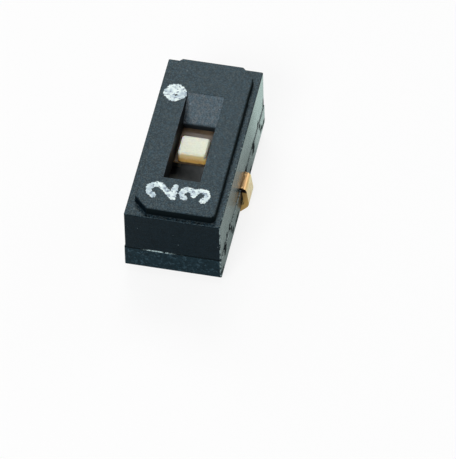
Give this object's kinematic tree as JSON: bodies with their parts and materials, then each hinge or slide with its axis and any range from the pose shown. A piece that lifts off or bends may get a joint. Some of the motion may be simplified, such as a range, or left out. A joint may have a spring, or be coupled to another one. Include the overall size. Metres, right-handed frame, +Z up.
{
  "type": "slide switch",
  "caption": "Small black changeover slide switch in a dual-in-line size body, with a recessed cream knob, a ramp in its slot and three gold J-bend leads.",
  "frame": {"origin": "under the middle of the body, in the plane that the three terminal feet stand on", "axes": "+X across the body towards the side of the common terminal, +Y along the travel towards the ramp end, +Z up out of the bezel"},
  "size_m": [0.0052, 0.01, 0.0044],
  "materials": {
    "black_moulding": "fine satin moulding",
    "cream_moulding": "smooth satin moulding",
    "gold_plate": "thin bright gold over a bent strip"
  },
  "bodies": {
    "housing": {"base": "black_moulding", "cover": "black_moulding", "common_terminal": "gold_plate", "front_terminal": "gold_plate", "rear_terminal": "gold_plate"},
    "slider": {"slider": "cream_moulding", "moving_contact": "gold_plate"}
  },
  "joints": [
    {"name": "slider_travel", "type": "slide", "parent": "housing", "child": "slider", "axis": [0, -1, 0], "range_m": [0, 0.002]}
  ]
}
